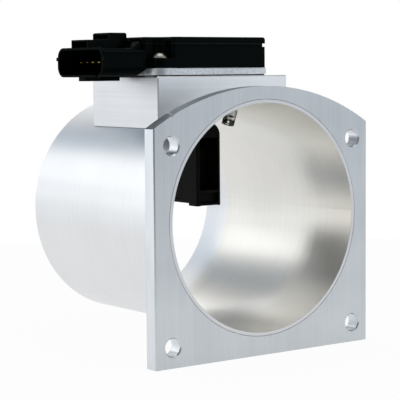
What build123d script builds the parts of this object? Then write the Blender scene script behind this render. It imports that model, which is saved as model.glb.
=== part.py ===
from build123d import *
import math
import os

# The origin is on the bore axis at the flange's front face.
# X runs across the flange, Y along the air flow and Z up. All sizes are in millimetres.

# Turned tube
tube_outer_diameter = 101.6
tube_length = 108.0
bore_mouth_diameter = 98.7
throat_diameter = 93.8
inlet_taper_length = 26.0
outlet_taper_length = 19.5
taper_blend_radius = 120.0
tube_edge_chamfer = 0.3

# Flange plate
flange_thickness = 6.4
flange_side_rim = 7.5
flange_bottom_rim = 8.35
flange_top_rim = 5.65
flange_shoulder_drop = 16.75
flange_edge_chamfer = 0.5
bolt_hole_diameter = 7.5
bolt_inset_from_side = 8.75
bolt_inset_from_bottom = 8.7
bolt_inset_from_shoulder = 7.05
arch_step_from_side = 10.6
arch_step_width = 1.0
arch_step_depth = 0.4
arch_step_skew = 20.0

# Saddle pad on top of the tube
pad_left_reach = 33.6
pad_right_reach = 38.4
pad_front = 31.9
pad_length = 51.8
pad_rise = 10.05
pad_edge_chamfer = 0.45
tapped_hole_depth = 12.0

# Gaps between mating pieces
seat_gap = 0.15
slot_gap = 0.1
plug_gap = 0.15
o_ring_gap = 0.05

# How far a cut or a joined block runs past the face that it has to reach
overrun = 1.0

# Gasket and cast base plate of the sensor module
gasket_thickness = 0.5
gasket_inset = 0.6
plate_thickness = 2.95
plate_overhang = 0.5
plate_shell_gap = 0.3
plate_corner_radius = 1.6
plate_edge_chamfer = 0.4
platform_rise = 1.45

# Moulded electronics housing
housing_left_overhang = 0.5
housing_width = 61.25
housing_depth = 49.4
housing_height = 9.3
housing_wall = 2.7
housing_floor = 1.5
housing_corner_radius = 1.3
cavity_corner_radius = 0.8
screw_notch_width = 9.6
screw_notch_depth = 8.4
screw_notch_radius = 3.6
neck_height = 1.3
neck_inset = 0.75
seal_thickness = 0.2

# Screw ears
ear_inset_x = 5.65
ear_inset_y = 4.4
ear_radius = 4.6
ear_height = 4.4
bush_outer_diameter = 5.6
bush_inner_diameter = 3.8
screw_diameter = 3.5
screw_reach_below_head = 18.0
screw_head_diameter = 6.5
screw_head_height = 2.2
screw_flange_height = 0.25
screw_dome_inset = 0.05
screw_crown_cut = 0.2
recess_width = 3.0
recess_blade = 0.9
recess_depth = 1.3

# Lid
lid_thickness = 2.8
lid_overhang = 0.1
lid_edge_radius = 1.2
lid_tongue_depth = 1.0
lid_tongue_width = 1.2
lid_tongue_gap = 0.2
lid_panel_margin = 7.0
lid_panel_depth = 0.4

# Connector shell
shell_reach = 22.9
shell_width = 36.5
shell_height = 12.8
shell_wall = 1.0
shell_corner_radius = 4.6
shell_depth = 19.0
shell_shift = -0.7
shell_drop_below_housing = 3.65
shell_heel_length = 4.4
collar_length = 1.2
collar_step = 0.3
side_step_height = 8.8
lug_size = 1.5
lug_proud = 1.2
lug_height = 7.9
key_slot_width = 1.6
key_slot_length = 4.0
key_slot_offset = 13.2

# Latch rail, lock box and keel of the connector
rail_width = 13.15
rail_height = 3.35
rail_edge_radius = 0.5
rail_pocket_wall = 0.7
rail_pocket_depth = 8.0
ramp_length = 4.4
ramp_height = 3.0
lock_box_setback = 11.1
lock_box_length = 9.0
lock_box_height = 3.1
lock_box_radius = 0.8
lock_pocket_wall = 0.9
lock_pocket_depth = 6.0
keel_width = 5.1
keel_height = 2.0
keel_length = 17.9
keel_setback = 1.0

# Connector pins
pin_count = 6
pin_pitch = 4.95
pin_width = 1.6
pin_thickness = 0.64
pin_height = 6.5
pin_tip_setback = 8.1
pin_inner_length = 1.1
pin_tip_chamfer = 0.2

# Circuit board and what is on it
board_width = 19.0
board_length = 32.0
board_thickness = 0.8
board_left_gap = 2.6
board_rear_gap = 1.4
board_glue_thickness = 0.15
platform_inset = 1.0
wire_width = 0.4
wire_thickness = 0.2
wire_foot = 0.6
wire_foot_setback = 0.3
wire_rise = 1.1
wire_bend_radius = 0.25
wire_inset = 1.2
large_chip_size = 7.0
large_chip_height = 1.4
large_chip_share_forward = 0.2
small_chip_size = 5.5
small_chip_height = 1.2
small_chip_share_back = 0.165
capacitor_share_back = 0.36
capacitor_count = 4
capacitor_pitch = 1.9
capacitor_length = 2.0
capacitor_width = 1.2
capacitor_height = 0.9
capacitor_side = 4.2
resistor_count = 3
resistor_pitch = 3.0
resistor_length = 1.6
resistor_width = 0.8
resistor_height = 0.5

# Probe that hangs in the bore
probe_offset = 4.9
probe_shift = 0.3
probe_width = 13.3
probe_length = 24.0
probe_reach = 58.35
probe_shoulder_drop = 21.15
probe_shoulder_radius = 5.5
probe_edge_chamfer = 0.6
probe_wall = 1.45
neck_width = 8.8
neck_length = 19.0
plug_diameter = 27.3
plug_lower_drop = 13.3
plug_top_drop = 0.2
spigot_diameter = 18.0
spigot_height = 5.4
o_ring_section = 1.9
o_ring_drop = 5.2
o_ring_side_gap = 0.15
inlet_window_low = 7.0
inlet_window_high = 30.5
inlet_room_length = 10.05
divider_thickness = 1.45
divider_opening = 5.0
sill_recess_low = 1.2
sill_recess_high = 5.8
sill_recess_depth = 2.1
heel_rise = 1.1
heel_start = 6.5
front_arch_rise = 0.6
rear_room_low = 3.5
rear_room_rim = 1.2
outlet_width = 7.0
cover_thickness = 1.4
cover_low = 2.6
cover_high = 33.4

# Sensing elements in the rear room of the probe
post_size = 0.8
post_side_offset = 1.8
post_span = 4.4
post_stagger = 1.2
post_first_offset = 2.1
post_low = 18.0
post_top_proud = 1.0
element_height = 20.0
element_diameter = 1.2
element_length = 2.4
element_lead_diameter = 0.35

# Caged air temperature probe
temp_side_reach = 15.4
temp_front = 44.0
temp_sleeve_diameter = 5.7
temp_sleeve_wall = 0.6
temp_protrusion = 6.1
temp_top_drop = 1.2
cage_window_count = 6
cage_window_width = 1.5
cage_window_height = 1.7
cage_rim_height = 0.45
cage_slot_count = 3
cage_slot_height = 0.9
cage_slot_width = 4.2
cage_slot_gap = 1.0
bead_diameter = 2.2
bead_height = 2.3
bead_tip_gap = 2.2
lead_diameter = 0.5
lead_spacing = 1.2
insulator_length = 13.5
lead_hole_diameter = 4.0
lead_lane_setback = 3.9
lead_slant_length = 10.0
lead_lane_overrun = 6.0
lead_board_reach = 2.0
lead_board_inset = 2.5
lead_bend_radius = 1.2

# Values that follow from the sizes above
tube_radius = tube_outer_diameter / 2
flange_half_width = tube_radius + flange_side_rim
flange_bottom = -(tube_radius + flange_bottom_rim)
flange_top = tube_radius + flange_top_rim
flange_shoulder = flange_top - flange_shoulder_drop
throat_radius = throat_diameter / 2
mouth_radius = bore_mouth_diameter / 2
pad_top = tube_radius + pad_rise
pad_middle = pad_front + pad_length / 2
plate_bottom = pad_top + gasket_thickness
plate_top = plate_bottom + plate_thickness
housing_left = -(pad_left_reach + housing_left_overhang)
housing_right = housing_left + housing_width
housing_front = pad_middle - housing_depth / 2
housing_rear = pad_middle + housing_depth / 2
housing_top = plate_top + housing_height
floor_top = plate_top + housing_floor
neck_top = housing_top + neck_height
lid_bottom = neck_top + seal_thickness
lid_top = lid_bottom + lid_thickness
ear_top = plate_top + ear_height
screw_places = [
    (housing_left + ear_inset_x, housing_front + ear_inset_y),
    (housing_right - ear_inset_x, housing_rear - ear_inset_y),
]
shell_middle = pad_middle + shell_shift
shell_bottom = plate_top - shell_drop_below_housing
shell_top = shell_bottom + shell_height
shell_face = housing_left - shell_reach
shell_floor = shell_face + shell_depth
pin_level = shell_bottom + pin_height
pin_inner_end = housing_left + housing_wall + pin_inner_length
pin_places = [shell_middle + (index - (pin_count - 1) / 2) * pin_pitch for index in range(pin_count)]
board_left = housing_left + housing_wall + board_left_gap
board_right = board_left + board_width
board_rear = housing_rear - housing_wall - board_rear_gap
board_front = board_rear - board_length
platform_top = plate_top + platform_rise
board_bottom = platform_top + board_glue_thickness
board_top = board_bottom + board_thickness
probe_left = probe_shift - probe_width / 2
probe_right = probe_shift + probe_width / 2
probe_middle = pad_middle - probe_offset
probe_front = probe_middle - probe_length / 2
probe_rear = probe_middle + probe_length / 2
probe_bottom = pad_top - probe_reach
probe_shoulder = pad_top - probe_shoulder_drop
probe_bore_radius = plug_diameter / 2 + plug_gap
plug_top = pad_top - plug_top_drop
plug_bottom = pad_top - plug_lower_drop
spigot_top = plug_top + spigot_height
divider_front = probe_front + inlet_room_length
cover_front = divider_front + divider_thickness
post_places = [
    (side * post_side_offset, cover_front + post_first_offset + stagger + span)
    for side, stagger in ((-1, 0), (1, post_stagger))
    for span in (0, post_span)
]
temp_lean = math.degrees(math.asin(temp_side_reach / throat_radius))
temp_tip = throat_radius - temp_protrusion
temp_top = (pad_top - temp_top_drop) / math.cos(math.radians(temp_lean))


def block(x_range, y_range, z_range):
    """A box between two limits along each axis."""
    ranges = (x_range, y_range, z_range)
    middle = [(low + high) / 2 for low, high in ranges]
    size = [high - low for low, high in ranges]
    return Pos(*middle) * Box(*size)


def upright(place, z_range, radius):
    """An upright cylinder at a place in plan, between two heights."""
    low, high = z_range
    return Pos(place[0], place[1], (low + high) / 2) * Cylinder(radius, high - low)


def along_tube(y_range, radius):
    """A cylinder on the bore axis, between two stations along the tube."""
    low, high = y_range
    return Pos(0, (low + high) / 2, 0) * Rot(90, 0, 0) * Cylinder(radius, high - low)


def on_temp_axis(piece):
    """Turns a piece that is drawn upright on the origin onto the air temperature probe's radial axis."""
    return Pos(0, temp_front, 0) * Rot(0, temp_lean, 0) * piece


def temp_hole(low, high, radius):
    """A radial hole for the air temperature probe."""
    return on_temp_axis(upright((0, 0), (low, high), radius))


def module_plan(inset, radius):
    """Plan of the module: a rectangle with a round-cornered notch for a screw at two opposite corners."""
    left, right = housing_left + inset, housing_right - inset
    front, rear = housing_front + inset, housing_rear - inset
    points = [
        (left, front + screw_notch_depth),
        (left + screw_notch_width, front + screw_notch_depth),
        (left + screw_notch_width, front),
        (right, front),
        (right, rear - screw_notch_depth),
        (right - screw_notch_width, rear - screw_notch_depth),
        (right - screw_notch_width, rear),
        (left, rear),
    ]
    face = make_face(Polyline(*points, close=True))
    middle = face.center()
    outer_corners = face.vertices().sort_by_distance(middle)[2:]
    face = fillet(outer_corners, radius)
    notch_corners = face.vertices().sort_by_distance(middle)[:2]
    return fillet(notch_corners, screw_notch_radius)


def raised_plan(inset, radius, z_range):
    """The module's plan as a solid between two heights."""
    low, high = z_range
    return Pos(0, 0, low) * extrude(module_plan(inset, radius), high - low)


def make_housing_tube():
    """Turned tube whose bore narrows to a throat and opens again."""
    section = make_face(Polyline(
        (mouth_radius, 0),
        (tube_radius, 0),
        (tube_radius, tube_length),
        (mouth_radius, tube_length),
        (throat_radius, tube_length - outlet_taper_length),
        (throat_radius, inlet_taper_length),
        close=True,
    ))
    throat_corners = section.vertices().sort_by(Axis.X)[:2]
    section = fillet(throat_corners, taper_blend_radius)
    tube = revolve(section, Axis.Y)
    rear_edges = tube.faces().sort_by(Axis.Y)[-1].edges()
    tube = chamfer(rear_edges, tube_edge_chamfer)
    tube -= upright((0, probe_middle), (0, pad_top), probe_bore_radius)
    tube -= temp_hole(temp_tip, pad_top, temp_sleeve_diameter / 2 + slot_gap)
    return tube


def make_flange_plate():
    """Plate with an arched top edge that bears two tool marks, four bolt holes and a bore for the tube."""
    sides = Polyline(
        (-flange_half_width, flange_shoulder),
        (-flange_half_width, flange_bottom),
        (flange_half_width, flange_bottom),
        (flange_half_width, flange_shoulder),
    )
    arch = ThreePointArc(
        (flange_half_width, flange_shoulder),
        (0, flange_top),
        (-flange_half_width, flange_shoulder),
    )
    plate = extrude(Plane.XZ * make_face(sides + arch), flange_thickness, dir=(0, 1, 0))
    side_edges = plate.faces().sort_by(Axis.Y)[0].edges().filter_by(Axis.Z)
    plate = chamfer(side_edges, flange_edge_chamfer)
    hole_levels = (flange_bottom + bolt_inset_from_bottom, flange_shoulder - bolt_inset_from_shoulder)
    hole_radius = bolt_hole_diameter / 2
    rim_depth = 2 * flange_edge_chamfer
    for side in (-1, 1):
        across = side * (flange_half_width - bolt_inset_from_side)
        for level in hole_levels:
            hole_axis = Pos(across, 0, level) * Rot(90, 0, 0)
            plate -= hole_axis * Cylinder(hole_radius, 4 * flange_thickness)
            plate -= hole_axis * Cone(hole_radius, hole_radius + rim_depth, rim_depth)
    arch_radius = (flange_half_width ** 2 + flange_shoulder_drop ** 2) / (2 * flange_shoulder_drop)
    step_reach = flange_half_width - arch_step_from_side
    for side in (-1, 1):
        lean = math.degrees(math.asin(side * step_reach / arch_radius))
        cutter = Pos(0, flange_thickness / 2, arch_radius) * Rot(0, 0, side * arch_step_skew)
        cutter *= Box(arch_step_width, 2 * flange_thickness, 2 * arch_step_depth)
        plate -= Pos(0, 0, flange_top - arch_radius) * Rot(0, lean, 0) * cutter
    plate -= along_tube((-flange_thickness, 2 * flange_thickness), tube_radius + seat_gap)
    return plate


def make_sensor_pad():
    """Milled block that sits on the tube like a saddle and carries the sensor module."""
    pad = block(
        (-pad_left_reach, pad_right_reach),
        (pad_front, pad_front + pad_length),
        (0, pad_top),
    )
    pad = chamfer(pad.edges().filter_by(Axis.Z), pad_edge_chamfer)
    pad = chamfer(pad.faces().sort_by(Axis.Z)[-1].edges(), pad_edge_chamfer)
    pad -= along_tube((0, tube_length), tube_radius + seat_gap)
    pad -= upright((0, probe_middle), (0, 2 * pad_top), probe_bore_radius)
    pad -= temp_hole(temp_tip, 2 * pad_top, temp_sleeve_diameter / 2 + slot_gap)
    for place in screw_places:
        pad -= upright(place, (pad_top - tapped_hole_depth, 2 * pad_top), screw_diameter / 2 + slot_gap)
    return pad


def lead_hole_place():
    """Where the air temperature leads pass up through the gasket, the plate and the floor."""
    return (pad_top * math.tan(math.radians(temp_lean)), temp_front)


def add_plate_ears(outline, inset, z_range):
    """Adds the round screw ears to the module's plan and cuts the plan off beside the shell."""
    for (across, along), side in zip(screw_places, (-1, 1)):
        radius = ear_radius - inset
        outline += upright((across, along), z_range, radius)
        inner_x = across - side * (screw_notch_width - ear_inset_x + plate_corner_radius)
        inner_y = along - side * (screw_notch_depth - ear_inset_y + plate_corner_radius)
        outer_x = across + side * radius
        outer_y = along + side * radius
        outline += block(sorted((across, inner_x)), sorted((outer_y, inner_y)), z_range)
        outline += block(sorted((outer_x, inner_x)), sorted((along, inner_y)), z_range)
    cut_off = housing_left + plate_shell_gap
    return outline - block((cut_off - housing_width, cut_off), (0, tube_length), z_range)


def cut_module_holes(piece, z_range, screw_hole_radius):
    """Holes that line up through the gasket and the base plate."""
    piece -= upright((0, probe_middle), z_range, spigot_diameter / 2 + plug_gap)
    piece -= upright(lead_hole_place(), z_range, lead_hole_diameter / 2)
    for place in screw_places:
        piece -= upright(place, z_range, screw_hole_radius)
    return piece


def make_module_gasket():
    """Thin gasket between the pad and the module."""
    z_range = (pad_top, plate_bottom)
    inset = gasket_inset - plate_overhang
    gasket = add_plate_ears(raised_plan(inset, plate_corner_radius, z_range), inset, z_range)
    gasket -= upright((0, probe_middle), z_range, probe_bore_radius)
    return cut_module_holes(gasket, z_range, bush_inner_diameter / 2)


def platform_limits(inset):
    """Limits in plan of the raised platform under the circuit board."""
    return (
        (board_left + inset, board_right - inset),
        (board_front + inset, board_rear - inset),
    )


def make_module_base_plate():
    """Cast aluminium plate with a bevelled top edge and a raised platform under the circuit board."""
    z_range = (plate_bottom, plate_top)
    plan = raised_plan(-plate_overhang, plate_corner_radius, z_range)
    plan = chamfer(plan.faces().sort_by(Axis.Z)[-1].edges(), plate_edge_chamfer)
    plate = add_plate_ears(plan, -plate_overhang, z_range)
    x_range, y_range = platform_limits(platform_inset)
    plate += block(x_range, y_range, (plate_top, platform_top))
    return cut_module_holes(plate, z_range, bush_inner_diameter / 2)


def shell_section(inset, x_range):
    """Rounded rectangle of the connector shell, between two stations along it."""
    low, high = x_range
    rounded = RectangleRounded(shell_width - 2 * inset, shell_height - 2 * inset, shell_corner_radius - inset)
    section = extrude(Plane.YZ * rounded, high - low)
    return Pos(low, shell_middle, (shell_bottom + shell_top) / 2) * section


def make_shell():
    """Connector shell with its collar, side lugs, key slot, sloped heel and the wall that holds the pins."""
    shell = shell_section(0, (shell_face, shell_face + collar_length))
    shell += shell_section(collar_step, (shell_face, housing_left))
    step_level = shell_bottom + side_step_height
    for side in (-1, 1):
        edge = shell_middle + side * shell_width / 2
        shell -= block(
            (shell_face + collar_length, housing_left),
            sorted((edge - side * 2 * collar_step, edge + side * overrun)),
            (step_level, shell_top),
        )
        lug_level = shell_bottom + lug_height
        shell += block(
            (shell_face, shell_face + lug_size),
            sorted((edge - side * shell_wall / 2, edge + side * lug_proud)),
            (lug_level - lug_size / 2, lug_level + lug_size / 2),
        )
    heel = make_face(Polyline(
        (housing_left - shell_heel_length, shell_bottom),
        (housing_left + overrun, shell_bottom),
        (housing_left + overrun, plate_top),
        (housing_left, plate_top),
        close=True,
    ))
    shell -= Pos(0, shell_middle, 0) * extrude(Plane.XZ * heel, shell_width, both=True)
    shell -= shell_section(shell_wall, (shell_face, shell_floor))
    key_middle = shell_middle - key_slot_offset
    shell -= block(
        (shell_face, shell_face + key_slot_length),
        (key_middle - key_slot_width / 2, key_middle + key_slot_width / 2),
        (shell_bottom + collar_step, shell_bottom + 2 * shell_wall),
    )
    return shell


def make_latch_rail():
    """Rail on the shell, the ramp up to the lid, and the hollow lock box."""
    half_rail = rail_width / 2
    deck = shell_top - collar_step
    rail_top = shell_top + rail_height
    rail_end = housing_left - lid_overhang - slot_gap
    rail_sides = (shell_middle - half_rail, shell_middle + half_rail)
    rail = block((shell_face, rail_end), rail_sides, (deck, rail_top))
    rail = fillet(rail.faces().sort_by(Axis.Z)[-1].edges().filter_by(Axis.X), rail_edge_radius)
    rail_pocket_half = half_rail - rail_pocket_wall
    rail -= block(
        (shell_face, shell_face + rail_pocket_depth),
        (shell_middle - rail_pocket_half, shell_middle + rail_pocket_half),
        (shell_top, rail_top - rail_pocket_wall),
    )
    ramp = make_face(Polyline(
        (rail_end - ramp_length, deck),
        (rail_end, deck),
        (rail_end, deck + ramp_height),
        close=True,
    ))
    half_ramp = shell_width / 2 - shell_corner_radius
    ramp = extrude(Plane.XZ * ramp, half_ramp, both=True)
    rail += Pos(0, shell_middle, 0) * ramp
    box_start = shell_face + lock_box_setback
    box_range = (box_start, box_start + lock_box_length)
    box_top = rail_top + lock_box_height
    box_levels = (rail_top - overrun, box_top)
    lock_box = block(box_range, rail_sides, box_levels)
    lock_box = fillet(lock_box.faces().sort_by(Axis.Z)[-1].edges(), lock_box_radius)
    pocket_half = half_rail - lock_pocket_wall
    lock_box -= block(
        (box_start, box_start + lock_pocket_depth),
        (shell_middle - pocket_half, shell_middle + pocket_half),
        (rail_top + lock_pocket_wall / 2, box_top - lock_pocket_wall),
    )
    return rail + lock_box


def make_keel():
    """Short rib under the connector shell."""
    start = shell_face + keel_setback
    return block(
        (start, start + keel_length),
        (shell_middle - keel_width / 2, shell_middle + keel_width / 2),
        (shell_bottom + collar_step - keel_height, shell_bottom + collar_step),
    )


def make_ears():
    """Round ears under the screw heads, filled back to the walls of their notches."""
    ears = []
    for (across, along), side in zip(screw_places, (-1, 1)):
        z_range = (plate_top, ear_top)
        inner_x = across - side * (screw_notch_width - ear_inset_x + housing_corner_radius)
        inner_y = along - side * (screw_notch_depth - ear_inset_y + housing_corner_radius)
        ear = upright((across, along), z_range, ear_radius)
        ear += block(sorted((across, inner_x)), sorted((along + side * ear_radius, inner_y)), z_range)
        ear += block(sorted((across + side * ear_radius, inner_x)), sorted((along, inner_y)), z_range)
        ears.append(ear)
    return ears


def make_electronics_housing():
    """Moulded housing: open box, screw ears, connector shell and latch parts in one piece."""
    housing = raised_plan(0, housing_corner_radius, (plate_top, housing_top))
    housing += raised_plan(neck_inset, housing_corner_radius, (housing_top, neck_top))
    for ear in make_ears():
        housing += ear
    housing -= raised_plan(housing_wall, cavity_corner_radius, (floor_top, neck_top))
    ledge_start = housing_left + housing_wall
    pin_span = (pin_count - 1) * pin_pitch + 2 * pin_width
    housing += block(
        (ledge_start, pin_inner_end),
        (shell_middle - pin_span / 2, shell_middle + pin_span / 2),
        (floor_top, pin_level - pin_thickness / 2 - slot_gap),
    )
    x_range, y_range = platform_limits(platform_inset - slot_gap)
    housing -= block(x_range, y_range, (plate_top, floor_top))
    housing -= upright((0, probe_middle), (plate_top, floor_top), spigot_diameter / 2 + plug_gap)
    housing -= upright(lead_hole_place(), (plate_top, floor_top), lead_hole_diameter / 2)
    for place in screw_places:
        housing -= upright(place, (plate_top, ear_top), bush_outer_diameter / 2 + slot_gap)
    housing += make_shell()
    housing += make_latch_rail()
    housing += make_keel()
    for place in pin_places:
        housing -= block(
            (shell_floor, pin_inner_end),
            (place - pin_width / 2 - slot_gap, place + pin_width / 2 + slot_gap),
            (pin_level - pin_thickness / 2 - slot_gap, pin_level + pin_thickness / 2 + slot_gap),
        )
    return housing


def make_lid_seal():
    """Bead of sealant on the housing's neck."""
    z_range = (neck_top, lid_bottom)
    seal = raised_plan(neck_inset, housing_corner_radius, z_range)
    return seal - raised_plan(housing_wall, cavity_corner_radius, z_range)


def make_lid():
    """Flat lid with a rounded top edge, a shallow panel and a tongue inside the neck."""
    lid = raised_plan(-lid_overhang, housing_corner_radius, (lid_bottom, lid_top))
    lid = fillet(lid.faces().sort_by(Axis.Z)[-1].edges(), lid_edge_radius)
    panel_inset = screw_notch_width + lid_panel_margin
    panel = block(
        (housing_left + panel_inset, housing_right - panel_inset),
        (housing_front + lid_panel_margin, housing_rear - lid_panel_margin),
        (lid_top - lid_panel_depth, lid_top),
    )
    lid -= fillet(panel.edges().filter_by(Axis.Z), housing_corner_radius)
    tongue_range = (lid_bottom - lid_tongue_depth, lid_bottom)
    outer = housing_wall + lid_tongue_gap
    tongue = raised_plan(outer, cavity_corner_radius, tongue_range)
    tongue -= raised_plan(outer + lid_tongue_width, cavity_corner_radius, tongue_range)
    return lid + tongue


def make_connector_pins():
    """Row of flat blades, each from its tip in the socket to its end inside the housing."""
    pins = []
    for place in pin_places:
        pin = block(
            (shell_face + pin_tip_setback, pin_inner_end),
            (place - pin_width / 2, place + pin_width / 2),
            (pin_level - pin_thickness / 2, pin_level + pin_thickness / 2),
        )
        pins.append(chamfer(pin.faces().sort_by(Axis.X)[0].edges(), pin_tip_chamfer))
    return Compound(pins)


def make_board_glue():
    """Film of heat-conducting glue between the platform and the board."""
    x_range, y_range = platform_limits(platform_inset)
    return block(x_range, y_range, (platform_top, board_bottom))


def make_circuit_board():
    """Ceramic circuit board."""
    x_range, y_range = platform_limits(0)
    return block(x_range, y_range, (board_bottom, board_top))


def make_board_chips():
    """Two integrated circuits, a row of capacitors and a row of resistors on the board."""
    middle_x = board_left + board_width / 2
    middle_y = board_rear - board_length / 2
    layout = []
    for share, size, height in (
        (-large_chip_share_forward, large_chip_size, large_chip_height),
        (small_chip_share_back, small_chip_size, small_chip_height),
    ):
        layout.append((middle_x, middle_y + share * board_length, size, size, height))
    for index in range(capacitor_count):
        along = middle_y + capacitor_share_back * board_length - index * capacitor_pitch
        layout.append((middle_x + capacitor_side, along, capacitor_length, capacitor_width, capacitor_height))
    for index in range(resistor_count):
        across = middle_x + (index - 1) * resistor_pitch
        along = middle_y - resistor_width / 2
        layout.append((across, along, resistor_length, resistor_width, resistor_height))
    return Compound([
        Pos(across, along, board_top + height / 2) * Box(width, depth, height)
        for across, along, width, depth, height in layout
    ])


def bond_wire(start, end):
    """Flat wire that rises from its foot, crosses and comes down to a second foot."""
    start, end = Vector(*start), Vector(*end)
    heading = Vector(end.X - start.X, end.Y - start.Y, 0).normalized()
    peak = max(start.Z, end.Z) + wire_rise
    top = Vector((start.X + end.X) / 2, (start.Y + end.Y) / 2, peak)
    path = FilletPolyline(
        start,
        start + heading * wire_foot,
        top,
        end - heading * wire_foot,
        end,
        radius=wire_bend_radius,
    )
    sideways = Vector(-heading.Y, heading.X, 0)
    section = Plane(origin=start, x_dir=sideways, z_dir=heading) * Rectangle(wire_width, wire_thickness)
    return sweep(section, path=path)


def make_bond_wires():
    """Wires from the pins to the board, and from the board to the probe's posts."""
    half_wire = wire_thickness / 2
    foot_start = pin_inner_end - wire_foot - wire_foot_setback
    wires = []
    for place in pin_places:
        inside = min(max(place, board_front + wire_inset), board_rear - wire_inset)
        start = (foot_start, place, pin_level + pin_thickness / 2 + half_wire)
        wires.append(bond_wire(start, (board_left + wire_inset, inside, board_top + half_wire)))
    for across, along in post_places:
        start = (board_right - wire_inset, along, board_top + half_wire)
        end = (across + post_size / 2, along, spigot_top + post_top_proud + half_wire)
        wires.append(bond_wire(start, end))
    return Compound(wires)


def make_module_screws():
    """Two pan-head screws: a dome with its crown cut flat and a cross recess."""
    screws = []
    for place in screw_places:
        dome_bottom = ear_top + screw_flange_height
        head_top = ear_top + screw_head_height
        screw = upright(place, (ear_top - screw_reach_below_head, ear_top), screw_diameter / 2)
        screw += upright(place, (ear_top, dome_bottom), screw_head_diameter / 2)
        crown = head_top + screw_crown_cut
        dome_height = crown - dome_bottom
        dome_base = screw_head_diameter / 2 - screw_dome_inset
        dome_radius = (dome_base ** 2 + dome_height ** 2) / (2 * dome_height)
        dome = Pos(place[0], place[1], crown - dome_radius) * Sphere(dome_radius)
        screw += dome & upright(place, (dome_bottom, head_top), dome_base)
        for width, depth in ((recess_width, recess_blade), (recess_blade, recess_width)):
            screw -= block(
                (place[0] - width / 2, place[0] + width / 2),
                (place[1] - depth / 2, place[1] + depth / 2),
                (head_top - recess_depth, head_top),
            )
        screws.append(screw)
    return Compound(screws)


def make_ear_bushes():
    """Steel sleeves that take the screws' load through the plastic ears."""
    bushes = []
    for place in screw_places:
        bush = upright(place, (plate_top, ear_top), bush_outer_diameter / 2)
        bushes.append(bush - upright(place, (plate_top, ear_top), bush_inner_diameter / 2))
    return Compound(bushes)


def post_holes(low, high, size):
    """Square holes or posts at the four places."""
    return [
        block((across - size / 2, across + size / 2), (along - size / 2, along + size / 2), (low, high))
        for across, along in post_places
    ]


def make_probe_body():
    """Moulded probe: plug, spigot, neck and the two air rooms behind the inlet window."""
    body = block((probe_left, probe_right), (probe_front, probe_rear), (probe_bottom, probe_shoulder))
    top_edges = body.faces().sort_by(Axis.Z)[-1].edges().filter_by(Axis.Y)
    body = fillet(top_edges, probe_shoulder_radius)
    front_edges = body.faces().sort_by(Axis.Y)[0].edges().filter_by(Axis.Z)
    body = chamfer(front_edges, probe_edge_chamfer)
    body += block(
        (-neck_width / 2, neck_width / 2),
        (probe_middle - neck_length / 2, probe_middle + neck_length / 2),
        (probe_shoulder - probe_shoulder_radius / 2, plug_bottom + overrun),
    )
    body += upright((0, probe_middle), (plug_bottom, plug_top), plug_diameter / 2)
    body += upright((0, probe_middle), (plug_top, spigot_top), spigot_diameter / 2)
    groove_floor = probe_bore_radius - o_ring_section - 2 * o_ring_gap
    groove_half = o_ring_section / 2 + o_ring_side_gap
    groove_level = plug_top - o_ring_drop
    groove_range = (groove_level - groove_half, groove_level + groove_half)
    groove = upright((0, probe_middle), groove_range, plug_diameter / 2 + overrun)
    body -= groove - upright((0, probe_middle), groove_range, groove_floor)

    room_left, room_right = probe_left + probe_wall, probe_right - probe_wall
    room_range = (probe_bottom + inlet_window_low, probe_bottom + inlet_window_high)
    body -= block((room_left, room_right), (probe_front, divider_front), room_range)
    sill_range = (probe_bottom + sill_recess_low, probe_bottom + sill_recess_high)
    body -= block((room_left, room_right), (probe_front, probe_front + sill_recess_depth), sill_range)
    body -= block(
        (room_left, room_right),
        (divider_front, cover_front + rear_room_rim),
        (room_range[1] - divider_opening, room_range[1]),
    )
    cover_range = (probe_bottom + cover_low, probe_bottom + cover_high)
    body -= block((probe_left, probe_left + cover_thickness), (cover_front, probe_rear), cover_range)
    body -= block(
        (probe_left, room_right),
        (cover_front + rear_room_rim, probe_rear - rear_room_rim),
        (probe_bottom + rear_room_low, room_range[1]),
    )
    body -= block(
        (probe_left, probe_right),
        (probe_front + heel_start, probe_rear),
        (probe_bottom, probe_bottom + heel_rise),
    )
    body -= block(
        (probe_shift - outlet_width / 2, probe_shift + outlet_width / 2),
        (cover_front + 2 * rear_room_rim, probe_rear - 2 * rear_room_rim),
        (probe_bottom, probe_bottom + rear_room_low),
    )
    arch_reach = (room_right - room_left) / 2
    arch_radius = (arch_reach ** 2 + front_arch_rise ** 2) / (2 * front_arch_rise)
    arch = Pos(probe_shift, probe_front, probe_bottom + front_arch_rise - arch_radius)
    body -= arch * Rot(90, 0, 0) * Cylinder(arch_radius, 2 * probe_wall)
    for hole in post_holes(room_range[1] - overrun, spigot_top, post_size + 2 * slot_gap):
        body -= hole
    return body


def make_probe_cover():
    """Side cover that closes the probe's rear air room."""
    cover = block(
        (probe_left, probe_left + cover_thickness - slot_gap),
        (cover_front + slot_gap, probe_rear),
        (probe_bottom + cover_low + slot_gap, probe_bottom + cover_high - slot_gap),
    )
    return chamfer(cover.faces().sort_by(Axis.X)[0].edges(), probe_edge_chamfer / 3)


def make_probe_o_ring():
    """Sealing ring between the probe's plug and the pad's bore."""
    ring_radius = probe_bore_radius - o_ring_section / 2 - o_ring_gap
    return Pos(0, probe_middle, plug_top - o_ring_drop) * Torus(ring_radius, o_ring_section / 2)


def make_element_posts():
    """Four posts that carry the sensing elements and lead up to the module."""
    low = probe_bottom + post_low
    return Compound(post_holes(low, spigot_top + post_top_proud, post_size))


def make_element(post_index):
    """A wound sensing element with its two leads, held between two posts."""
    across, first = post_places[post_index]
    second = post_places[post_index + 1][1]
    level = probe_bottom + element_height
    start, end = first + post_size / 2, second - post_size / 2
    middle = (start + end) / 2
    place = Pos(across, middle, level) * Rot(90, 0, 0)
    element = place * Cylinder(element_lead_diameter / 2, end - start)
    return element + place * Cylinder(element_diameter / 2, element_length)


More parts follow.
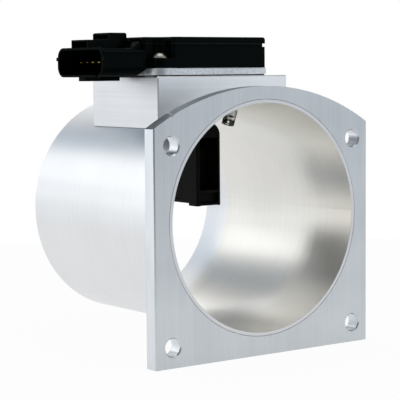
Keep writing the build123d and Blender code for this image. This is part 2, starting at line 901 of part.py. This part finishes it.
def make_air_temp_sleeve():
    """Metal sleeve whose end is a cage around the temperature bead."""
    outer = temp_sleeve_diameter / 2
    sleeve = upright((0, 0), (temp_tip, temp_top), outer)
    sleeve -= upright((0, 0), (temp_tip, temp_top), outer - temp_sleeve_wall)
    window_low = temp_tip + cage_rim_height
    window_high = window_low + cage_window_height
    slot_low = window_high + cage_slot_gap
    for index in range(cage_window_count):
        turn = Rot(0, 0, index * 360 / cage_window_count)
        window_sides = (-cage_window_width / 2, cage_window_width / 2)
        window = block((0, 2 * outer), window_sides, (window_low, window_high))
        sleeve -= turn * window
    for index in range(cage_slot_count):
        turn = Rot(0, 0, (index + 0.25) * 360 / cage_slot_count)
        slot = block(
            (0, 2 * outer),
            (-cage_slot_width / 2, cage_slot_width / 2),
            (slot_low, slot_low + cage_slot_height),
        )
        sleeve -= turn * slot
    return on_temp_axis(sleeve)


def make_air_temp_insulator():
    """Resin core that holds the leads in the sleeve."""
    radius = temp_sleeve_diameter / 2 - temp_sleeve_wall - slot_gap
    core = upright((0, 0), (temp_top - insulator_length, temp_top), radius)
    for side in (-1, 1):
        place = (0, side * lead_spacing / 2)
        core -= upright(place, (temp_top - insulator_length, temp_top), lead_diameter / 2 + slot_gap)
    return on_temp_axis(core)


def make_air_temp_bead():
    """Glass-coated temperature bead at the tip of the leads."""
    low = temp_tip + bead_tip_gap
    bead = upright((0, 0), (low, low + bead_height), bead_diameter / 2)
    return on_temp_axis(fillet(bead.edges().sort_by(Axis.Z)[0], bead_diameter / 3))


def make_air_temp_leads():
    """Two leads from the bead, up through the sleeve and across the housing to the board."""
    lean = math.radians(temp_lean)
    start_reach = temp_tip + bead_tip_gap + bead_height
    hole_x, hole_y = lead_hole_place()
    run_level = board_top + lead_diameter / 2
    lane = housing_front + housing_wall + lead_lane_setback
    leads = []
    for side in (-1, 1):
        offset = side * lead_spacing / 2
        start = (start_reach * math.sin(lean), hole_y + offset, start_reach * math.cos(lean))
        path = FilletPolyline(
            start,
            (hole_x, hole_y + offset, pad_top),
            (hole_x, hole_y + offset, run_level),
            (hole_x - lead_slant_length, lane + offset, run_level),
            (board_right + lead_lane_overrun + offset, lane + offset, run_level),
            (board_right - lead_board_reach + offset, board_front + lead_board_inset, run_level),
            radius=lead_bend_radius,
        )
        heading = (math.sin(lean), 0, math.cos(lean))
        section = Plane(origin=start, z_dir=heading) * Circle(lead_diameter / 2)
        leads.append(sweep(section, path=path))
    return Compound(leads)


pieces = {
    "housing_tube": make_housing_tube(),
    "flange_plate": make_flange_plate(),
    "sensor_pad": make_sensor_pad(),
    "module_gasket": make_module_gasket(),
    "module_base_plate": make_module_base_plate(),
    "electronics_housing": make_electronics_housing(),
    "lid_seal": make_lid_seal(),
    "lid": make_lid(),
    "connector_pins": make_connector_pins(),
    "board_glue": make_board_glue(),
    "circuit_board": make_circuit_board(),
    "board_chips": make_board_chips(),
    "bond_wires": make_bond_wires(),
    "module_screws": make_module_screws(),
    "ear_bushes": make_ear_bushes(),
    "probe_body": make_probe_body(),
    "probe_cover": make_probe_cover(),
    "probe_o_ring": make_probe_o_ring(),
    "element_posts": make_element_posts(),
    "hot_element": make_element(0),
    "cold_element": make_element(2),
    "air_temp_sleeve": make_air_temp_sleeve(),
    "air_temp_insulator": make_air_temp_insulator(),
    "air_temp_bead": make_air_temp_bead(),
    "air_temp_leads": make_air_temp_leads(),
}

os.makedirs("parts", exist_ok=True)
for name, piece in pieces.items():
    export_step(piece, os.path.join("parts", name + ".step"))
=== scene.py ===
import math

import bpy
from mathutils import Matrix, Vector


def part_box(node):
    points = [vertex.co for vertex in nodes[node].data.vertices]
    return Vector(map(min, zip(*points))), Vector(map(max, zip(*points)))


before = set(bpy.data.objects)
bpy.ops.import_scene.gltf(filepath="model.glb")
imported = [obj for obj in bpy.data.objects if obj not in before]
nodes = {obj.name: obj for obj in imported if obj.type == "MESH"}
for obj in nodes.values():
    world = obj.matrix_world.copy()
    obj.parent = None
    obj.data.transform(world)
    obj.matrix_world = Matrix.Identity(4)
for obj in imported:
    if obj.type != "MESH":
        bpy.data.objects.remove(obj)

# The frame is the CAD's own: X across the flange, Y along the air flow, Z up, in metres.
MM = 0.001
MICRON = MM * MM
scene = bpy.context.scene
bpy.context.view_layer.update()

# The spread of one noise, and of two noises added together, that is drawn out to the full range.
noise_low, noise_high = 0.35, 0.65
sum_low, sum_high = 0.75, 1.25
# Broad clouds in the tone of a metal, and smaller ones in that of a moulding.
metal_cloud_mm = 26
moulding_cloud_mm = 11
# Rays that average the rounding of an edge.
bevel_samples = 4
# A moulding's shine varies by this share, and its resin-rich skin has a satin shine of its own.
moulding_swing = 0.1
skin_roughness = 0.25
plain_white = (1.0, 1.0, 1.0, 1.0)


def linear(hex_colour):
    """An sRGB hex colour as a linear colour with alpha 1, by the sRGB formula."""
    channels = [int(hex_colour[i:i + 2], 16) / 255 for i in (1, 3, 5)]
    values = [c / 12.92 if c <= 0.04045 else ((c + 0.055) / 1.055) ** 2.4 for c in channels]
    return (*values, 1.0)


def add(tree, kind, inputs=None, **settings):
    """Adds a node, sets its properties, and fills its inputs with values or links."""
    made = tree.nodes.new(kind)
    for name, value in settings.items():
        setattr(made, name, value)
    for name, value in (inputs or {}).items():
        if isinstance(value, bpy.types.NodeSocket):
            tree.links.new(value, made.inputs[name])
        else:
            made.inputs[name].default_value = value
    return made


def new_tree(name):
    """A new material with an empty node tree."""
    material = bpy.data.materials.new(name)
    material.use_nodes = True
    material.node_tree.nodes.clear()
    return material, material.node_tree


def noise_at(tree, grain_mm, detail=2.0, roughness=0.5):
    """Noise whose grain has its own real size along X, Y and Z."""
    place = add(tree, "ShaderNodeTexCoord").outputs["Object"]
    scaled = add(tree, "ShaderNodeVectorMath", {
        0: place,
        1: [1 / (size * MM) for size in grain_mm],
    }, operation="MULTIPLY")
    return add(tree, "ShaderNodeTexNoise", {
        "Vector": scaled.outputs[0],
        "Scale": 1.0,
        "Detail": detail,
        "Roughness": roughness,
    }).outputs["Fac"]


def ramp_of(tree, value, stops):
    """A value turned into a colour, by (position, hex colour) stops."""
    ramp = add(tree, "ShaderNodeValToRGB", {"Fac": value})
    elements = ramp.color_ramp.elements
    elements[0].position, elements[0].color = stops[0][0], linear(stops[0][1])
    elements[1].position, elements[1].color = stops[-1][0], linear(stops[-1][1])
    for position, hex_colour in stops[1:-1]:
        elements.new(position).color = linear(hex_colour)
    return ramp.outputs["Color"]


def span(tree, value, low, high, to_low, to_high):
    """A value mapped from one range to another."""
    return add(tree, "ShaderNodeMapRange", {
        "Value": value,
        "From Min": low,
        "From Max": high,
        "To Min": to_low,
        "To Max": to_high,
    }).outputs["Result"]


def tinted(tree, colour, tint, share=1.0):
    """A colour multiplied by a tint, as far as a share from 0 to 1 says."""
    # The mixing node's own numbers for its share, its two colours and its result.
    mix_share, first_colour, second_colour, mixed_colour = 0, 6, 7, 2
    mix = add(tree, "ShaderNodeMix", {
        mix_share: share,
        first_colour: colour,
        second_colour: tint,
    }, data_type="RGBA", blend_type="MULTIPLY")
    return mix.outputs[mixed_colour]


def within_bore(tree, radius_mm, rear_mm):
    """1 inside a radius around the bore's axis and in front of a plane across it, else 0."""
    place = add(tree, "ShaderNodeTexCoord").outputs["Object"]
    across = add(tree, "ShaderNodeVectorMath", {0: place, 1: (1, 0, 1)}, operation="MULTIPLY").outputs[0]
    distance = add(tree, "ShaderNodeVectorMath", {0: across}, operation="LENGTH").outputs["Value"]
    inside = add(tree, "ShaderNodeMath", {0: distance, 1: radius_mm * MM}, operation="LESS_THAN").outputs[0]
    along = add(tree, "ShaderNodeSeparateXYZ", {0: place}).outputs["Y"]
    in_front = add(tree, "ShaderNodeMath", {0: along, 1: rear_mm * MM}, operation="LESS_THAN").outputs[0]
    return add(tree, "ShaderNodeMath", {0: inside, 1: in_front}, operation="MULTIPLY").outputs[0]


def facing_share(tree, axis):
    """1 on faces square to an axis, 0 on faces along it."""
    normal = add(tree, "ShaderNodeTexCoord").outputs["Normal"]
    share = add(tree, "ShaderNodeVectorMath", {0: normal, 1: axis}, operation="DOT_PRODUCT").outputs["Value"]
    return add(tree, "ShaderNodeMath", {0: share}, operation="ABSOLUTE").outputs[0]


def surface_normal(tree, edge_mm, height, depth_um):
    """The surface's direction, with its edges rounded and its marks or grain raised."""
    rounded = add(tree, "ShaderNodeBevel", {"Radius": edge_mm * MM}, samples=bevel_samples).outputs["Normal"]
    return add(tree, "ShaderNodeBump", {
        "Height": height,
        "Distance": depth_um * MICRON,
        "Strength": 1.0,
        "Normal": rounded,
    }).outputs["Normal"]


def ray_kinds(tree):
    """1 on rays from the camera, and 1 on rays that a mirror or glass sends on."""
    rays = add(tree, "ShaderNodeLightPath")
    mirrored = add(tree, "ShaderNodeMath", {
        0: rays.outputs["Is Glossy Ray"],
        1: rays.outputs["Is Transmission Ray"],
    }, operation="MAXIMUM").outputs[0]
    return rays.outputs["Is Camera Ray"], mirrored


def cut_metal(name, dark, light, marks_mm, roughness, draw_out=0.0, along=None, mark_depth_um=3, edge_mm=0.25,
              painted_bore_shade=None, painted_face_shade=None, swing=0.12):
    """Bare metal with tool marks. draw_out is how far the highlight is drawn out in the direction along.
    painted_bore_shade is the radius, rear end and tint of painted shade within that radius of the bore's
    axis.
    painted_face_shade is the axis and tint of painted shade on the faces square to that axis.
    swing is the share by which the marks vary the shine."""
    material, tree = new_tree(name)
    marks = noise_at(tree, marks_mm)
    clouds = noise_at(tree, (metal_cloud_mm,) * 3)
    both = add(tree, "ShaderNodeMath", {0: marks, 1: clouds}, operation="ADD").outputs[0]
    colour = ramp_of(tree, span(tree, both, sum_low, sum_high, 0, 1), [(0.0, dark), (1.0, light)])
    # Painted shade: a tint that darkens the colour within a radius of the bore's axis and in front of a plane
    # across it.
    if painted_bore_shade:
        bore_shade_radius, bore_shade_rear, bore_shade_tint = painted_bore_shade
        colour = tinted(tree, colour, linear(bore_shade_tint), within_bore(tree, bore_shade_radius, bore_shade_rear))
    # Painted shade: a tint that darkens the faces square to an axis.
    if painted_face_shade:
        face_shade_axis, face_shade_tint = painted_face_shade
        colour = tinted(tree, colour, linear(face_shade_tint), facing_share(tree, face_shade_axis))
    inputs = {
        "Base Color": colour,
        "Metallic": 1.0,
        "Roughness": span(tree, both, sum_low, sum_high, roughness * (1 + swing), roughness * (1 - swing)),
        "Normal": surface_normal(tree, edge_mm, marks, mark_depth_um),
        "Anisotropic": draw_out,
    }
    if along:
        direction = dict(zip("XYZ", along))
        inputs["Tangent"] = add(tree, "ShaderNodeCombineXYZ", direction).outputs["Vector"]
    shader = add(tree, "ShaderNodeBsdfPrincipled", inputs)
    add(tree, "ShaderNodeOutputMaterial", {"Surface": shader.outputs["BSDF"]})
    return material


def moulded(name, dark, light, grain_mm, roughness, specular, depth_um, edge_mm=0.3, skin=0.0):
    """Moulded, cast or rubbery surface with a fine even grain.
    skin is the resin-rich skin of a moulding, which shines where it is seen at a low angle."""
    material, tree = new_tree(name)
    grain = noise_at(tree, (grain_mm,) * 3, detail=3.0, roughness=0.55)
    clouds = noise_at(tree, (moulding_cloud_mm,) * 3, detail=3.0, roughness=0.55)
    tone = ramp_of(tree, span(tree, clouds, noise_low, noise_high, 0, 1), [(0.0, dark), (1.0, light)])
    least_rough, most_rough = roughness * (1 - moulding_swing), roughness * (1 + moulding_swing)
    shader = add(tree, "ShaderNodeBsdfPrincipled", {
        "Base Color": tone,
        "Roughness": span(tree, grain, noise_low, noise_high, least_rough, most_rough),
        "Specular IOR Level": specular,
        "Coat Weight": skin,
        "Coat Roughness": skin_roughness,
        "Normal": surface_normal(tree, edge_mm, grain, depth_um),
    })
    add(tree, "ShaderNodeOutputMaterial", {"Surface": shader.outputs["BSDF"]})
    return material


# Aluminium turned on a lathe: rings around the axis draw each highlight out along the tube. The rings are
# drawn coarser than real feed marks, which are finer than a pixel, and vary along the tube only. In the bore,
# up to its outlet taper, a warm tint of painted shade makes it a touch warmer and darker. The tube's end
# faces are painted greyer, as painted shade.
turned = cut_metal(
    "turned_aluminium", "#E7E8E9", "#ECEDEE", marks_mm=(6000, 1.8, 6000), roughness=0.28,
    draw_out=0.55, along=(0, 1, 0), mark_depth_um=0.03,
    painted_bore_shade=(49.3, 88.5, "#FFFCF5"), painted_face_shade=((0, 1, 0), "#E9EAEB"), swing=0.02,
)
# Aluminium sheet linished up and down: upright hair lines, drawn coarser than real ones, spread the light
# from side to side. Its flat faces are painted greyer than its milled edges, as painted shade.
brushed = cut_metal(
    "linished_aluminium", "#DCE1E5", "#E6EAED", marks_mm=(0.6, 8, 70), roughness=0.33,
    draw_out=0.5, along=(1, 0, 0), mark_depth_um=0.4,
    painted_face_shade=((0, 1, 0), "#E9EAEA"),
)
# Milled aluminium: level cutter lines, drawn coarser than real ones, on a flat, satin face. The sides are
# painted greyer than the front, as painted shade.
milled = cut_metal(
    "milled_aluminium", "#EBEEF0", "#F3F5F7", marks_mm=(60, 60, 0.9), roughness=0.36,
    draw_out=0.5, along=(0, 0, 1), mark_depth_um=0.12,
    painted_face_shade=((1, 0, 0), "#EBEBEC"), swing=0.04,
)
# Die-cast aluminium: an even, slightly pebbled silver without a direction.
cast = cut_metal(
    "die_cast_aluminium", "#CCD1D5", "#F0F2F4", marks_mm=(0.9, 0.9, 0.9), roughness=0.42,
    mark_depth_um=12,
)
# Zinc-plated steel: a warm silver with a soft shine.
zinc = cut_metal(
    "zinc_plated_steel", "#9A978E", "#B5B2A8", marks_mm=(1.2, 1.2, 1.2), roughness=0.32,
    mark_depth_um=1, edge_mm=0.12,
)
# Drawn stainless steel of the posts and leads: neutral and darker than the aluminium.
stainless = cut_metal(
    "drawn_stainless_steel", "#8E8F8E", "#B5B6B5", marks_mm=(2, 2, 0.3), roughness=0.30,
    mark_depth_um=1.5, edge_mm=0.1,
)
# Stainless steel blasted to a satin, on the sleeve in the bore: pale above, and darkened by painted shade
# at its tip, which reaches within 43 mm of the axis.
shade_tipped_stainless = cut_metal(
    "satin_stainless_steel", "#C3C4C0", "#D8D9D5", marks_mm=(2, 2, 2), roughness=0.42,
    mark_depth_um=1, edge_mm=0.15, painted_bore_shade=(43.0, 108.0, "#5C5C56"),
)
# Gold over nickel on the contact blades: deep yellow, soft gloss.
gold = cut_metal(
    "gold_plated_brass", "#A88A3C", "#D4B45A", marks_mm=(1.5, 0.3, 0.3), roughness=0.30,
    mark_depth_um=1, edge_mm=0.08,
)
# Glass-filled thermoplastic moulded in a spark-eroded tool: near black with a faint fine grain.
black = moulded(
    "glass_filled_moulding", "#010605", "#020907", grain_mm=0.45, roughness=0.36, specular=0.0,
    depth_um=4, skin=0.08,
)
# The same moulding where intake dust and oil have dulled it: a touch of olive.
dusty = moulded(
    "dulled_moulding", "#060604", "#0C0C08", grain_mm=0.5, roughness=0.50, specular=0.07,
    depth_um=5,
)
# Nitrile rubber: dull and dark grey.
rubber = moulded(
    "nitrile_rubber", "#0C0F11", "#16191B", grain_mm=0.5, roughness=0.6, specular=0.15,
    depth_um=4, edge_mm=0.1,
)
# Cured silicone sealant: dark, smooth and a little glossy.
sealant = moulded(
    "silicone_sealant", "#1B1C1C", "#2A2B2B", grain_mm=1.2, roughness=0.42, specular=0.4,
    depth_um=10, edge_mm=0.1,
)
# Fired alumina board: chalk white with a slight grain.
alumina = moulded(
    "fired_alumina", "#CFCFC8", "#E4E4DE", grain_mm=0.35, roughness=0.5, specular=0.4,
    depth_um=3, edge_mm=0.05,
)
# Epoxy moulding compound of the chips: matt charcoal.
chip_resin = moulded(
    "epoxy_moulding_compound", "#1A1A1C", "#28282B", grain_mm=0.3, roughness=0.55, specular=0.3,
    depth_um=4, edge_mm=0.08,
)
# Glass over the bead: dark amber and shiny.
glass = moulded(
    "lead_glass_coat", "#2A1E14", "#3E2D1E", grain_mm=0.8, roughness=0.12, specular=0.5,
    depth_um=1, edge_mm=0.05,
)
# Potting resin: brown and semi-gloss.
potting = moulded(
    "potting_resin", "#4A3826", "#5D4730", grain_mm=0.8, roughness=0.35, specular=0.4,
    depth_um=5, edge_mm=0.05,
)

finishes = {
    "housing_tube": turned,
    "flange_plate": brushed,
    "sensor_pad": milled,
    "module_gasket": rubber,
    "module_base_plate": cast,
    "electronics_housing": black,
    "lid_seal": sealant,
    "lid": black,
    "connector_pins": gold,
    "board_glue": sealant,
    "circuit_board": alumina,
    "board_chips": chip_resin,
    "bond_wires": zinc,
    "module_screws": zinc,
    "ear_bushes": zinc,
    "probe_body": dusty,
    "probe_cover": dusty,
    "probe_o_ring": rubber,
    "element_posts": stainless,
    "hot_element": alumina,
    "cold_element": alumina,
    "air_temp_sleeve": shade_tipped_stainless,
    "air_temp_insulator": potting,
    "air_temp_bead": glass,
    "air_temp_leads": stainless,
}
for name, material in finishes.items():
    mesh = nodes[name].data
    mesh.materials.clear()
    mesh.materials.append(material)


# Floor: a round table top in white paper that takes the object's soft shadow.
floor_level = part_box("flange_plate")[0].z
floor_radius = 0.45
floor_sides = 96
floor_mesh = bpy.data.meshes.new("floor")
floor_rim = [
    (
        floor_radius * math.cos(math.tau * index / floor_sides),
        floor_radius * math.sin(math.tau * index / floor_sides),
        floor_level,
    )
    for index in range(floor_sides)
]
floor_mesh.from_pydata(floor_rim, [], [tuple(range(floor_sides))])
floor = bpy.data.objects.new("floor", floor_mesh)
scene.collection.objects.link(floor)
paper, tree = new_tree("white_paper_sweep")
from_camera, mirrored = ray_kinds(tree)
# How much of the floor is plain white: nearly all to the camera, less in mirrors, where the shadow shows.
camera_glow = 0.95
mirror_glow = 0.72
in_view = add(tree, "ShaderNodeMath", {0: from_camera, 1: camera_glow}, operation="MULTIPLY").outputs[0]
in_mirror = add(tree, "ShaderNodeMath", {0: mirrored, 1: mirror_glow}, operation="MULTIPLY").outputs[0]
share = add(tree, "ShaderNodeMath", {0: in_view, 1: in_mirror}, operation="MAXIMUM").outputs[0]
fleece = noise_at(tree, (1.5, 1.5, 1.5))
paper_tone = ramp_of(tree, fleece, [(0.3, "#F2F2F2"), (0.7, "#F8F8F8")])
diffuse = add(tree, "ShaderNodeBsdfDiffuse", {"Color": paper_tone}).outputs["BSDF"]
glow = add(tree, "ShaderNodeEmission", {"Color": plain_white, "Strength": 1.0}).outputs["Emission"]
mixed = add(tree, "ShaderNodeMixShader", {0: share, 1: diffuse, 2: glow}).outputs["Shader"]
add(tree, "ShaderNodeOutputMaterial", {"Surface": mixed})
floor_mesh.materials.append(paper)

# Backdrop: white to the camera, and a plain grey where it only lights. Mirrors see a room instead.
world = bpy.data.worlds.new("studio")
scene.world = world
world.use_nodes = True
tree = world.node_tree
tree.nodes.clear()
from_camera, mirrored = ray_kinds(tree)
heading = add(tree, "ShaderNodeTexCoord").outputs["Generated"]
# Round the room, from its white wall behind the object to its dim side in front: a cool strip stands in the
# white wall, and from there on the wall falls off.
dim_side = (-0.593, -0.80, 0.0)
facing = add(tree, "ShaderNodeVectorMath", {
    0: heading,
    1: dim_side,
}, operation="DOT_PRODUCT").outputs["Value"]
tone_round = ramp_of(tree, span(tree, facing, -1, 1, 0, 1), [
    (0.0, "#FFFFFF"), (0.14, "#FFFFFF"),
    (0.17, "#A6BACF"), (0.22, "#A6BACF"),
    (0.25, "#FFFFFF"), (0.40, "#FBFDFF"),
    (0.645, "#DEE3E9"), (0.975, "#6C6D70"),
])
# Up the room's walls: a lit strip just above table height, a plain stretch, a lit band, and dim under the
# ceiling.
height = add(tree, "ShaderNodeSeparateXYZ", {0: heading}).outputs["Z"]
tone_up = ramp_of(tree, span(tree, height, -1, 1, 0, 1), [
    (0.50, "#F0F0F0"), (0.525, "#FFFFFF"), (0.575, "#FFFFFF"),
    (0.61, "#F2F2F2"), (0.66, "#F2F2F2"),
    (0.69, "#FFFFFF"), (0.755, "#FFFFFF"),
    (0.785, "#D8D8D8"), (0.81, "#A0A0A0"),
])
wall_strength = 1.15
lighting_grey = linear("#C8CED4")
lighting_strength = 0.8
room_tone = tinted(tree, tone_round, tone_up)
white = add(tree, "ShaderNodeBackground", {"Color": plain_white, "Strength": 1.0}).outputs["Background"]
room = add(tree, "ShaderNodeBackground", {
    "Color": room_tone,
    "Strength": wall_strength,
}).outputs["Background"]
grey = add(tree, "ShaderNodeBackground", {
    "Color": lighting_grey,
    "Strength": lighting_strength,
}).outputs["Background"]
lit = add(tree, "ShaderNodeMixShader", {0: mirrored, 1: grey, 2: room}).outputs["Shader"]
shown = add(tree, "ShaderNodeMixShader", {0: from_camera, 1: lit, 2: white}).outputs["Shader"]
add(tree, "ShaderNodeOutputWorld", {"Surface": shown})


def soft_box(name, place, width, height, radiance):
    """A soft box lamp that faces the object. The camera doesn't see it, and in a mirror its brightness is
    added to that of the wall behind it."""
    object_middle = Vector((0.0, 0.05, 0.0))
    lamp = bpy.data.lights.new(name, "AREA")
    lamp.shape = "RECTANGLE"
    lamp.size, lamp.size_y = width, height
    lamp.energy = radiance * math.pi * width * height
    box = bpy.data.objects.new(name, lamp)
    box.location = place
    box.rotation_euler = (object_middle - Vector(place)).to_track_quat("-Z", "Y").to_euler()
    box.visible_camera = False
    scene.collection.objects.link(box)


soft_box("back_left_soft_box", (-0.47, 0.73, 0.32), width=0.46, height=0.28, radiance=0.32)
soft_box("rear_soft_box", (0.60, 0.86, 0.12), width=0.56, height=0.44, radiance=0.9)
soft_box("overhead_soft_box", (0.05, 0.0, 0.85), width=0.7, height=0.7, radiance=1.3)
soft_box("left_strip_box", (-0.85, 0.35, 0.12), width=0.22, height=0.5, radiance=3.0)

# Camera: set where it stood for the photograph.
camera_place = Vector((-405.08, -498.77, 64.13)) * MM
camera_right = Vector((0.8028, -0.5962, -0.0083)).normalized()
camera_forward = Vector((0.5934, 0.8002, -0.0871)).normalized()
camera_up = camera_right.cross(camera_forward).normalized()
camera_data = bpy.data.cameras.new("camera")
camera_data.lens = 135.5
camera_data.sensor_width = 36.0
camera_data.clip_start = 0.01
camera = bpy.data.objects.new("camera", camera_data)
turn = Matrix((camera_right, camera_up, -camera_forward)).transposed().to_4x4()
camera.matrix_world = Matrix.Translation(camera_place) @ turn
scene.collection.objects.link(camera)
scene.camera = camera
scene.view_settings.view_transform = "Standard"
